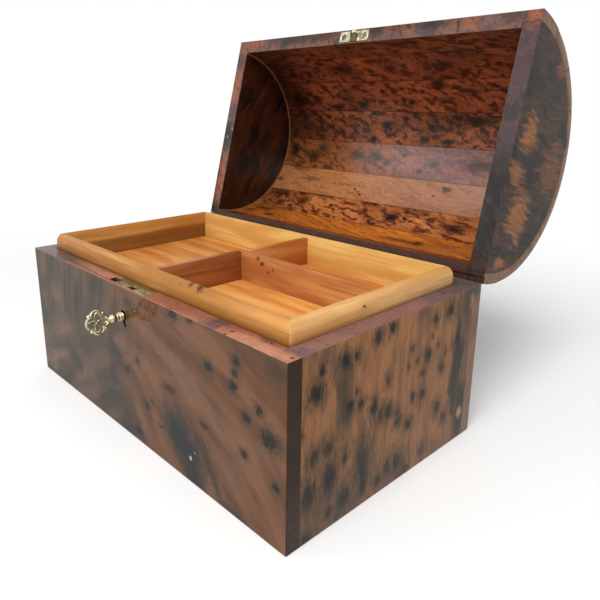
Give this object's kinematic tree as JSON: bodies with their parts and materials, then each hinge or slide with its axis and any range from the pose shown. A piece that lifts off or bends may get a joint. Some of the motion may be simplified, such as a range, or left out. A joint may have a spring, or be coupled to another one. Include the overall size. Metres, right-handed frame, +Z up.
{
  "type": "wooden jewelry box",
  "caption": "Burl wood jewelry box with a hinged coopered dome lid, a lift-out partitioned tray, and a hook lock with its key.",
  "frame": {"origin": "middle of the box's underside", "axes": "+X along the box to its right end, +Y to the back and the hinges, +Z up; the front with the keyhole faces -Y"},
  "size_m": [0.3, 0.3216, 0.2821],
  "materials": {
    "box_burl": "glossy varnished burl, pinkish brown with smoky grey-green streaks and dark knots",
    "lid_burl": "glossy varnished burl, red-brown to orange",
    "tray_wall_wood": "pale golden-yellow wood under a thin satin varnish",
    "tray_inner_wood": "orange-red straight-grained wood, satin",
    "brass": "pale brass, soft shine",
    "screws": "grey-blue steel"
  },
  "bodies": {
    "box": {"front_board": "box_burl", "back_board": "box_burl", "left_end_board": "box_burl", "right_end_board": "box_burl", "bottom_panel": "box_burl", "tray_ledge_left": "tray_wall_wood", "tray_ledge_right": "tray_wall_wood", "lock_plate": "brass", "lock_case": "brass", "bolt_spring": "brass", "lock_screw_1": "screws", "lock_screw_2": "screws", "lock_screw_3": "screws", "hinge_base_leaf_left": "brass", "hinge_pin_left": "brass", "hinge_base_screw_left_1": "screws", "hinge_base_screw_left_2": "screws", "hinge_base_leaf_right": "brass", "hinge_pin_right": "brass", "hinge_base_screw_right_1": "screws", "hinge_base_screw_right_2": "screws"},
    "lid": {"lid_stave_1": "lid_burl", "lid_stave_2": "lid_burl", "lid_stave_3": "lid_burl", "lid_stave_4": "lid_burl", "lid_stave_5": "lid_burl", "lid_stave_6": "lid_burl", "lid_stave_7": "lid_burl", "lid_stave_8": "lid_burl", "lid_stave_9": "lid_burl", "lid_end_left": "lid_burl", "lid_end_right": "lid_burl", "hook_plate": "brass", "hook_screw_1": "screws", "hook_screw_2": "screws", "hinge_lid_leaf_left": "brass", "hinge_lid_screw_left_1": "screws", "hinge_lid_screw_left_2": "screws", "hinge_lid_leaf_right": "brass", "hinge_lid_screw_right_1": "screws", "hinge_lid_screw_right_2": "screws"},
    "tray": {"tray_wall_front": "tray_wall_wood", "tray_wall_right": "tray_wall_wood", "tray_wall_back": "tray_wall_wood", "tray_wall_left": "tray_wall_wood", "tray_floor": "tray_inner_wood", "tray_cross_front": "tray_inner_wood", "tray_cross_rear": "tray_inner_wood", "tray_long_partition": "tray_inner_wood"},
    "key": {"key": "brass"},
    "bolt": {"lock_bolt": "brass"}
  },
  "joints": [
    {"name": "lid_hinge", "type": "hinge", "parent": "box", "child": "lid", "pos_m": [0, 0.09, 0.108], "axis": [1, 0, 0], "range_deg": [0, 104.6]},
    {"name": "tray_lift", "type": "slide", "parent": "box", "child": "tray", "axis": [0, 0, 1], "range_m": [0, 0.2]},
    {"name": "key_turn", "type": "hinge", "parent": "box", "child": "key", "pos_m": [-0.0055, -0.09, 0.088], "axis": [0, 1, 0], "range_deg": [0, 200]},
    {"name": "bolt_throw", "type": "slide", "parent": "box", "child": "bolt", "axis": [1, 0, 0], "range_m": [0, 0.0042]}
  ],
  "couplings": [
    {"joint": "key_turn", "follows": "bolt_throw", "rad_per_m": 831.1}
  ]
}
